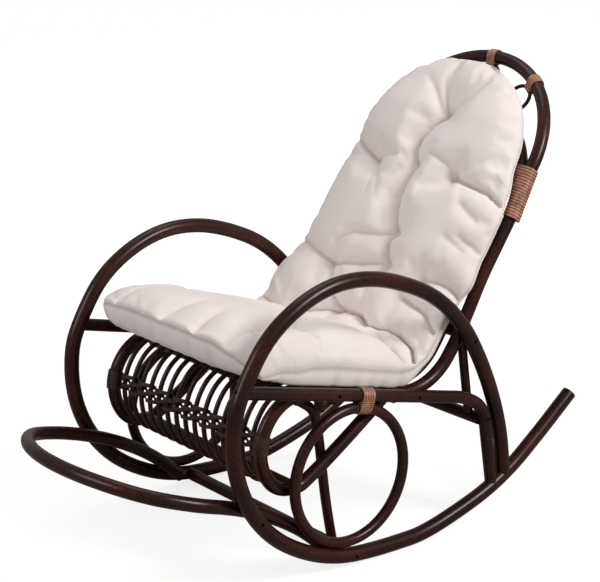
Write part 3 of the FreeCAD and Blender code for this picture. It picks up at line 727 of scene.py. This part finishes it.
CREASES = [
    ([(6, 651), (-15, 616), (-25, 580), (-17, 552), (2, 522)], 26, 24),
    ([(2, 522), (2, 480), (0, 444), (16, 406), (37, 370)], 24, 24),
    ([(37, 370), (33, 342), (48, 315), (60, 299)], 22, 22),
    ([(60, 299), (52, 262), (40, 225)], 18, 8),
    ([(-250, 564), (-191, 540), (-126, 517)], 14, 22),
    ([(-126, 517), (-100, 530), (-60, 532)], 8, 2),
    ([(-108, 268), (-67, 275), (-9, 282), (60, 299)], 18, 12),
    ([(-161, 281), (-134, 275), (-108, 268)], 14, 24),
    ([(-161, 281), (-215, 296), (-252, 300)], 14, 8),
    ([(114, 518), (153, 511), (209, 506), (248, 490)], 22, 20),
    ([(172, 289), (215, 294), (248, 286), (262, 276)], 14, 20),
    ([(37, 370), (-1, 352), (-65, 344), (-112, 316)], 12, 6),
    ([(6, 651), (-22, 693), (-50, 728)], 18, 2),
    ([(-8, 657), (-52, 698), (-98, 727)], 12, 2),
    ([(6, 651), (29, 674), (50, 700)], 8, 2),
    ([(-126, 517), (-96, 472), (-84, 430)], 7, 2),
    ([(-126, 517), (-75, 470), (-50, 430)], 7, 2),
    ([(182, 386), (232, 369)], 6, 6),
    ([(207, 396), (258, 380)], 5, 9),
    ([(40, 553), (90, 539), (114, 518)], 4, 8),
    ([(178, 461), (226, 438)], 6, 8),
    ([(-108, 268), (-60, 205), (-15, 168)], 16, 20),
    ([(-15, 168), (52, 167), (84, 141), (174, 149), (226, 124), (262, 80)], 30, 24),
    ([(145, 239), (212, 223), (253, 192)], 20, 18),
    ([(-15, 168), (-90, 130), (-170, 100), (-262, 112)], 28, 18),
    ([(-15, 168), (-20, 120), (-10, 70)], 20, 8),
    ([(17, -44), (70, -20), (142, 52)], 20, 14),
    ([(17, -44), (-60, 0), (-128, 40)], 16, 14),
    ([(17, -44), (0, 20), (-10, 70)], 14, 8),
    ([(-128, 40), (-200, 40), (-262, 20)], 18, 8),
    ([(142, 52), (200, 60), (262, 40)], 18, 10),
    ([(17, -44), (-50, -110), (-118, -190)], 10, 8),
    ([(17, -44), (80, -110), (150, -180)], 10, 8),
    ([(100, -380), (84, -320), (70, -290)], 12, 2),
    ([(-10, -380), (-2, -318), (8, -285)], 11, 2),
    ([(-118, -190), (-160, -280), (-180, -380)], 6, 8),
    ([(150, -180), (180, -280), (196, -380)], 8, 8),
]
GATHER = 7.0                        # half the width of a crease's narrow gather
VALLEY = 34.0                       # half the width of the soft valley beside it
TUFT_PIT = 13.0
TUFT_VALLEY = 52.0
PIT_SHARE = 0.62                    # of a tuft's depth; its valley takes the rest
PIT_VALLEY_SHARE = 0.38
GATHER_SHARE = 0.55                 # of a crease's depth; its valley takes the rest
GATHER_VALLEY_SHARE = 0.45
TUFT_HOLD = 9.0                     # how far round a tuft the thread holds the cotton
CREASE_HOLD = 6.0
FULL_CREASE = 24.0                  # a crease this deep is held as firmly as a tuft
LEAST_THICKNESS = 9.0


def crease_distance(x, run, line):
    """How far a place is from a crease, and how far along the crease, from 0 to 1."""
    spot = Vector((x, run, 0))
    best = (1e9, 0.0)
    for index, (start, end) in enumerate(zip(line, line[1:])):
        a = Vector((*start, 0))
        b = Vector((*end, 0))
        nearest, share = intersect_point_line(spot, a, b)
        share = min(1.0, max(0.0, share))
        away = (spot - a.lerp(b, share)).length
        if away < best[0]:
            best = (away, (index + share) / (len(line) - 1))
    return best


def sunk(x, run):
    """How far tufts and creases pull the top panel down, and how firmly they hold it there."""
    narrow = 0.0
    wide = 0.0
    hold = 0.0
    for tuft_x, tuft_run, depth in TUFTS:
        away = math.hypot(x - tuft_x, run - tuft_run)
        narrow = max(narrow, PIT_SHARE * depth * math.exp(-(away / TUFT_PIT) ** 2))
        wide = max(wide, PIT_VALLEY_SHARE * depth * math.exp(-(away / TUFT_VALLEY) ** 2))
        hold = max(hold, math.exp(-(away / TUFT_HOLD) ** 2))
    for line, start_depth, end_depth in CREASES:
        xs = [place[0] for place in line]
        runs = [place[1] for place in line]
        room = 2 * VALLEY
        if not (min(xs) - room < x < max(xs) + room and min(runs) - room < run < max(runs) + room):
            continue
        away, share = crease_distance(x, run, line)
        depth = start_depth + (end_depth - start_depth) * share
        narrow = max(narrow, GATHER_SHARE * depth * math.exp(-(away / GATHER) ** 2))
        wide = max(wide, GATHER_VALLEY_SHARE * depth * math.exp(-(away / VALLEY) ** 2))
        hold = max(hold, min(1.0, depth / FULL_CREASE) * math.exp(-(away / CREASE_HOLD) ** 2))
    return narrow + wide, hold


# %% [markdown]
# ## Sewing the panels together
# Each thread of the flat grid finds its place by the rules above: first its place along and across,
# then the seam's height there, then how far its panel stands above or hangs below that seam.  The
# rims of the two grids fall on the same places, so merging them there sews the cushion shut.

# %% Where a thread of each panel lies
EDGE_CLOSENESS = 0.8                # how strongly the threads crowd towards the sides
END_CLOSENESS = 0.3                 # and towards the front and the top
RIM = 0.9999                        # beyond this share of the grid, a thread is at the seam
BACK_FROM = 150.0                   # the run where the seat's fullness gives way to the back's
SEAT_SOFTNESS = 3.6                 # the higher, the squarer the cushion's section
BACK_SOFTNESS = 2.6
LEAST_RISE = 12.0                   # least fullness above the seam, before tufts draw it down
SINK_POWER = 12.0                   # tufts and creases fade out only close to the sides
UNDER_POWER = 16.0                  # the underside is flat nearly to its sides
SEAM_HOLD = 0.7                     # how firmly a seam holds its thread while the cushion fills
END_HOLD = 0.5                      # the same for the underside near the front
NOT_ON_TOP = -9999.0                # marks the underside's threads, which get no crisp lines


def even_to_edge(c, closeness):
    """Moves grid lines from the middle towards the edges, where the cushion curves most."""
    return math.sin(closeness * c * math.pi / 2) / math.sin(closeness * math.pi / 2)


def top_place(u, x, run, seam, full):
    """Height of the top panel at a place, and how firmly its thread is held there."""
    softness = SEAT_SOFTNESS if run < BACK_FROM else BACK_SOFTNESS
    flatter = stepped(FAR_FLATTER, run) * min(1.0, max(0.0, -u * FLATTER_SPREAD))
    fullness = max(LEAST_RISE, stepped(TOP_HEIGHT, run) - seam - flatter)
    rise = fullness * rounding(abs(u), softness) * full
    depth, hold = sunk(x, run)
    height = seam + rise
    height -= depth * rounding(abs(u), SINK_POWER) * min(1.0, full * 1.5)
    floor_height = stepped(UNDER_HEIGHT, run) + LEAST_THICKNESS
    return max(height, min(seam, floor_height)), hold


def under_height(u, run, seam, nose_share, crown_share):
    """Height of the underside at a place, which comes up to the seam at the front and the top."""
    fall = (seam - stepped(UNDER_HEIGHT, run)) * rounding(abs(u), UNDER_POWER)
    return seam - fall * rounding(nose_share, 2.0) * rounding(crown_share, 2.0)


# %% Making the two panels
bm = bmesh.new()
hold_layer = bm.verts.layers.float.new("hold")
seam_layer = bm.verts.layers.float.new("seam")
flat_x_layer = bm.verts.layers.float.new("flat_x")
flat_run_layer = bm.verts.layers.float.new("flat_run")
bmesh.ops.create_grid(bm, x_segments=THREADS_ACROSS, y_segments=THREADS_ALONG, size=1.0)
on_top = list(bm.verts)
copied = bmesh.ops.duplicate(bm, geom=bm.verts[:] + bm.edges[:] + bm.faces[:])
under_faces = [item for item in copied["geom"] if isinstance(item, bmesh.types.BMFace)]
under_verts = [item for item in copied["geom"] if isinstance(item, bmesh.types.BMVert)]
bmesh.ops.reverse_faces(bm, faces=under_faces)
for verts, is_top in ((on_top, True), (under_verts, False)):
    for vert in verts:
        u = even_to_edge(vert.co.x, EDGE_CLOSENESS)
        share = (vert.co.y + 1) / 2
        crowded = END_CLOSENESS * math.sin(2 * math.pi * share) / (2 * math.pi)
        run = NOSE + (CROWN - NOSE) * (share - crowded)
        full = ends(run)
        nose_share = max(0.0, (NOSE + UNDER_ROUND - run) / UNDER_ROUND)
        crown_share = max(0.0, (run - CROWN + UNDER_ROUND) / UNDER_ROUND)
        corner_back = NEAR_CORNER_BACK if u > 0 else FAR_CORNER_BACK
        run += corner_back * abs(u) ** CORNER_POWER * max(0.0, 1 - (run - NOSE) / CORNER_LENGTH)
        at_seam = abs(vert.co.x) > RIM or abs(vert.co.y) > RIM
        seam = seam_height(u, run)
        x = pad_place(u, run)
        if is_top:
            height, vert[hold_layer] = top_place(u, x, run, seam, full)
        else:
            height = under_height(u, run, seam, nose_share, crown_share)
            if not at_seam:
                x, height = sagged(u, run, x, height)
            if not at_seam and nose_share > 0.1:
                run += gathered(x, run, True)
            elif not at_seam and u > PINCHED_FROM:
                x -= gathered(x, run, False)
            vert[hold_layer] = 1.0 if nose_share == 0 else END_HOLD
        vert[seam_layer] = 1.0 if at_seam else 0.0
        vert[flat_x_layer] = x
        vert[flat_run_layer] = run if is_top or at_seam else NOT_ON_TOP
        if at_seam:
            vert[hold_layer] = SEAM_HOLD
        vert.co = on_pad(x, run, height)
bmesh.ops.remove_doubles(bm, verts=[v for v in bm.verts if v[seam_layer] > 0.5], dist=MERGE)
open_edges = sum(1 for edge in bm.edges if len(edge.link_faces) != 2)
print("cushion panels: %d points, %d faces, %d open edges" % (len(bm.verts), len(bm.faces), open_edges))

cushion = object_from(bm, "tufted_cushion")
for polygon in cushion.data.polygons:
    polygon.use_smooth = True

# %% [markdown]
# ## Filling the cushion
# Cloth simulation blows the two panels up with a light pressure while the tufts and the creases
# are held, as the thread holds them.  A negative shrink gives the panels a little more cotton than
# they need, and that spare cotton makes the small folds.  No point may move further than a cap.

# %% Simulated filling
FILL_FRAMES = 20
FILL_CAP = 11 * MM
SPARE_COTTON = -0.05


def fill_with_cloth(piece):
    """Fills a closed cushion by simulation, keeps each move up to the cap, and returns the largest."""
    mesh = piece.data
    held = piece.vertex_groups.new(name="held")
    for index, item in enumerate(mesh.attributes["hold"].data):
        held.add([index], item.value, "REPLACE")
    cloth = piece.modifiers.new("filling", "CLOTH")
    settings = cloth.settings
    settings.quality = 6
    settings.mass = 0.25
    settings.tension_stiffness = 12
    settings.compression_stiffness = 12
    settings.shear_stiffness = 4
    settings.bending_stiffness = 0.4
    settings.use_pressure = True
    settings.uniform_pressure_force = 4
    settings.shrink_min = SPARE_COTTON
    settings.vertex_group_mass = "held"
    settings.pin_stiffness = 1.0
    settings.effector_weights.gravity = 0
    cloth.collision_settings.use_collision = False
    cloth.collision_settings.use_self_collision = False
    cloth.point_cache.frame_start = 1
    cloth.point_cache.frame_end = FILL_FRAMES
    scene = bpy.context.scene
    for step in range(1, FILL_FRAMES + 1):
        scene.frame_set(step)
    filled = piece.evaluated_get(bpy.context.evaluated_depsgraph_get()).data
    moved = [vert.co.copy() for vert in filled.vertices]
    piece.modifiers.remove(cloth)
    piece.vertex_groups.clear()
    scene.frame_set(1)
    furthest = 0.0
    for vert, there in zip(mesh.vertices, moved):
        step = there - vert.co
        furthest = max(furthest, step.length)
        vert.co += step * min(1.0, FILL_CAP / max(step.length, 1e-9))
    return furthest / MM


swelled = fill_with_cloth(cushion)
print("filled: swelled by up to %.1f mm, of which %.0f are kept" % (swelled, FILL_CAP / MM))

# %% [markdown]
# ## Crisp gathers and the seam
# The simulation's threads are too coarse for the sharp line in the bottom of a crease.  So the seam
# is eased first, one subdivision makes the surface finer, and then the points on each crease's line,
# in each tuft and along the seam are drawn in.  How far is kept in an attribute for the colour.

# %% Easing the seam and one subdivision
bm = bmesh.new()
bm.from_mesh(cushion.data)
seam_layer = bm.verts.layers.float["seam"]
seam_verts = [vert for vert in bm.verts if vert[seam_layer] > 0.5]
beside_seam = {edge.other_vert(vert) for vert in seam_verts for edge in vert.link_edges}
for _ in range(2):
    bmesh.ops.smooth_vert(bm, verts=list(beside_seam), factor=0.4,
                          use_axis_x=True, use_axis_y=True, use_axis_z=True)
bm.to_mesh(cushion.data)
bm.free()

subdivide = cushion.modifiers.new("smooth cotton", "SUBSURF")
subdivide.levels = 1
subdivide.render_levels = 1
smooth_cotton = cushion.evaluated_get(bpy.context.evaluated_depsgraph_get())
finer = bpy.data.meshes.new_from_object(smooth_cotton)
cushion.modifiers.clear()
cushion.data = finer
print("cushion subdivided to %d faces" % len(finer.polygons))

# %% Drawing the gathers and the seam in
SEAM_DEPTH = 3.6 * MM
GATHER_DEPTH = 7.0 * MM
GATHER_LINE = 3.4                   # millimetres, half the width of the crisp line in a crease
GATHER_PIT = 7.0                    # millimetres, the same for a tuft
FULL_TUFT = 40                      # a tuft this deep is drawn in all the way
FAINTEST = 0.02                     # a fainter line is left alone


def crisp_line(x, run):
    """How strongly a place lies in the crisp line of a crease or a tuft, from 0 up."""
    line = 0.0
    for places, start_depth, end_depth in CREASES:
        xs = [place[0] for place in places]
        runs = [place[1] for place in places]
        room = 3 * GATHER_LINE
        if min(xs) - room < x < max(xs) + room and min(runs) - room < run < max(runs) + room:
            away, share = crease_distance(x, run, places)
            strength = min(1.0, (start_depth + (end_depth - start_depth) * share) / FULL_CREASE)
            line = max(line, strength * math.exp(-(away / GATHER_LINE) ** 2))
    for tuft_x, tuft_run, depth in TUFTS:
        away = math.hypot(x - tuft_x, run - tuft_run)
        line = max(line, depth / FULL_TUFT * math.exp(-(away / GATHER_PIT) ** 2))
    return line


bm = bmesh.new()
bm.from_mesh(finer)
seam_layer = bm.verts.layers.float["seam"]
flat_x_layer = bm.verts.layers.float["flat_x"]
flat_run_layer = bm.verts.layers.float["flat_run"]
gather_layer = bm.verts.layers.float.new("gather")
bm.normal_update()
steps = {}
for vert in bm.verts:
    if vert[seam_layer] > 0.9:
        steps[vert] = SEAM_DEPTH
    elif vert[flat_run_layer] > NOSE and vert[seam_layer] < 0.05:
        line = crisp_line(vert[flat_x_layer], vert[flat_run_layer])
        if line > FAINTEST:
            steps[vert] = GATHER_DEPTH * line
            # the cotton reads this gather attribute and paints shade from it
            vert[gather_layer] = min(1.0, line)
moves = {vert: -vert.normal * step for vert, step in steps.items()}
for vert, move in moves.items():
    vert.co += move
bm.to_mesh(finer)
bm.free()
print("cushion: %d faces, %d points in gathers" % (len(finer.polygons), len(moves)))

# %% [markdown]
# ## Cotton
# The cover is plain-woven cotton in its natural off-white: matt, with a fine even weave, a little
# fuzz that catches light at the edges, and small soft wrinkles.  The seam and the gathers lie in
# their own shadow, which the attributes made above paint into the colour as shade.

# %% Cotton cover
COTTON = "f3e9e5"
COTTON_SHADE = "ece1dd"
# painted shade: a darker colour for the seam and the gathers, for the shadow they lie in
COTTON_SEAM_SHADOW = "9c8e87"              # the seam's thread lies in its own shadow
GATHER_SHADE = 0.5                  # how much of that shadow the deepest gathers take
THREAD_STEP = 1.1                   # millimetres; real threads are finer, and would not show
TONE_STEP = 200.0                   # millimetres from one slightly darker patch to the next
WRINKLE_STEP = 38.462               # millimetres from one small wrinkle to the next


def cotton_cloth():
    """Plain-woven cotton: matt, soft at the edges, with painted shade in its seam and its gathers."""
    material, shader = new_material("natural_cotton_cloth")
    place = add_node(material, "ShaderNodeTexCoord")
    tone = add_node(material, "ShaderNodeTexNoise", [("Vector", place.outputs["Object"])],
                    {"Scale": 1000 / TONE_STEP, "Detail": 2.0, "Roughness": 0.4})
    colour = add_node(material, "ShaderNodeValToRGB", [("Fac", tone.outputs["Fac"])])
    colour.color_ramp.elements[0].position = 0.35
    colour.color_ramp.elements[0].color = srgb(COTTON_SHADE)
    colour.color_ramp.elements[1].position = 0.62
    colour.color_ramp.elements[1].color = srgb(COTTON)
    # painted shade: the seam and the gathers take a darker colour, for the shadow they lie in
    seam_shadow_mask = add_node(material, "ShaderNodeAttribute", attribute_name="seam")
    seam_shadow = add_node(material, "ShaderNodeMapRange", [("Value", seam_shadow_mask.outputs["Fac"])],
                       {"From Min": 0.6, "From Max": 1.0, "To Max": 0.45})
    gathers = add_node(material, "ShaderNodeAttribute", attribute_name="gather")
    gather_shadow = add_node(material, "ShaderNodeMath", [(0, gathers.outputs["Fac"])], {1: GATHER_SHADE},
                         operation="MULTIPLY")
    seam_and_gather_shadow = add_node(material, "ShaderNodeMath",
                        [(0, seam_shadow.outputs["Result"]), (1, gather_shadow.outputs[0])], operation="MAXIMUM")
    shade = add_node(material, "ShaderNodeMix", [("Factor", seam_and_gather_shadow.outputs[0]),
                                                 ("A", colour.outputs["Color"])],
                     {"B": srgb(COTTON_SEAM_SHADOW)}, data_type="RGBA")
    link(material, shade.outputs["Result"], shader.inputs["Base Color"])
    weave = add_node(material, "ShaderNodeTexNoise", [("Vector", place.outputs["Object"])],
                     {"Scale": 1000 / THREAD_STEP, "Detail": 1.0})
    wrinkle = add_node(material, "ShaderNodeTexNoise", [("Vector", place.outputs["Object"])],
                       {"Scale": 1000 / WRINKLE_STEP, "Detail": 4.0, "Roughness": 0.55, "Distortion": 0.6})
    fine = add_node(material, "ShaderNodeBump", [("Height", weave.outputs["Fac"])],
                    {"Strength": 0.15, "Distance": 0.3 * MM})
    soft = add_node(material, "ShaderNodeBump", [("Height", wrinkle.outputs["Fac"]),
                                                ("Normal", fine.outputs["Normal"])],
                    {"Strength": 0.12, "Distance": 2.0 * MM})
    link(material, soft.outputs["Normal"], shader.inputs["Normal"])
    shader.inputs["Roughness"].default_value = 0.92
    shader.inputs["Specular IOR Level"].default_value = 0.25
    shader.inputs["Sheen Weight"].default_value = 0.15
    shader.inputs["Sheen Roughness"].default_value = 0.5
    return material


COTTON_CLOTH = cotton_cloth()
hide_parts("cushion")
show(cushion, COTTON_CLOTH, SEAT)
print("cushion finished")
